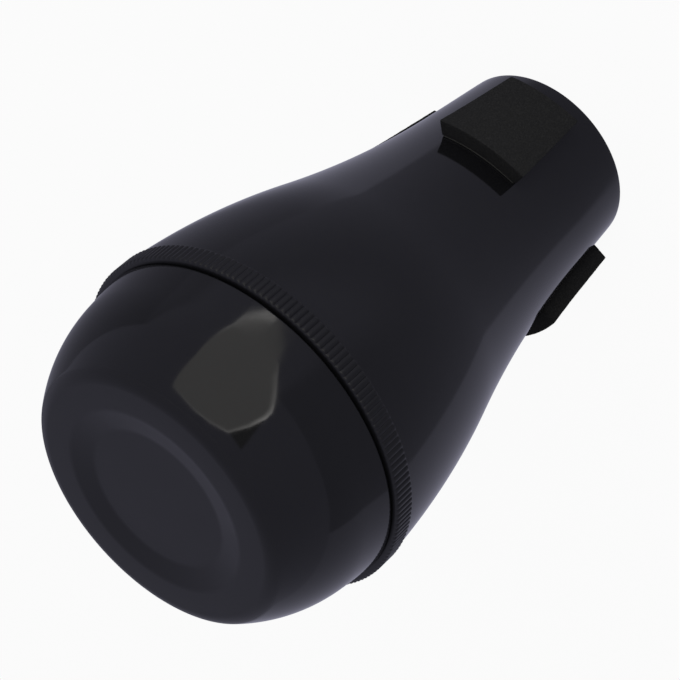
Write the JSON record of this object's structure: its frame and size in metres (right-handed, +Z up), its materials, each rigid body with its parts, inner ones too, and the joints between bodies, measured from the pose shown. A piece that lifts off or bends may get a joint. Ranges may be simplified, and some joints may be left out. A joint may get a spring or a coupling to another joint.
{
  "type": "trombone straight mute",
  "caption": "Hollow pear-shaped straight mute for a trombone, gloss black, with a knurled collar, a screw-on domed end cap and curved foam pads round the neck.",
  "frame": {"origin": "centre of the neck rim, at the lowest point of the mute as it stands on its neck", "axes": "+Z up the mute's axis from the neck to the flat end of the cap; +X and +Y across it, with the picture taken from about -Y"},
  "size_m": [0.116, 0.116, 0.1905],
  "materials": {
    "shell_plastic": "polished black moulded plastic, knurled at the collar",
    "cap_plastic": "polished black moulded plastic, satin on the flat end",
    "seal_rubber": "matt black rubber",
    "pad_foam": "fine-celled black foam",
    "pad_film": "dark grey adhesive film"
  },
  "bodies": {
    "mute_body": {"body_shell": "shell_plastic", "foam_pad_front": "pad_foam", "foam_pad_right": "pad_foam", "foam_pad_left": "pad_foam", "pad_film_front": "pad_film", "pad_film_right": "pad_film", "pad_film_left": "pad_film"},
    "seal": {"seal_ring": "seal_rubber"},
    "cap": {"end_cap": "cap_plastic"}
  },
  "joints": [
    {"name": "seal_slide", "type": "slide", "parent": "mute_body", "child": "seal", "axis": [0, 0, 1], "range_m": [0, 0.008]},
    {"name": "cap_turn", "type": "hinge", "parent": "seal", "child": "cap", "pos_m": [0, 0, 0.1524], "axis": [0, 0, 1], "range_deg": [0, 720]}
  ],
  "couplings": [
    {"joint": "seal_slide", "follows": "cap_turn", "m_per_rad": 0.0006366}
  ]
}
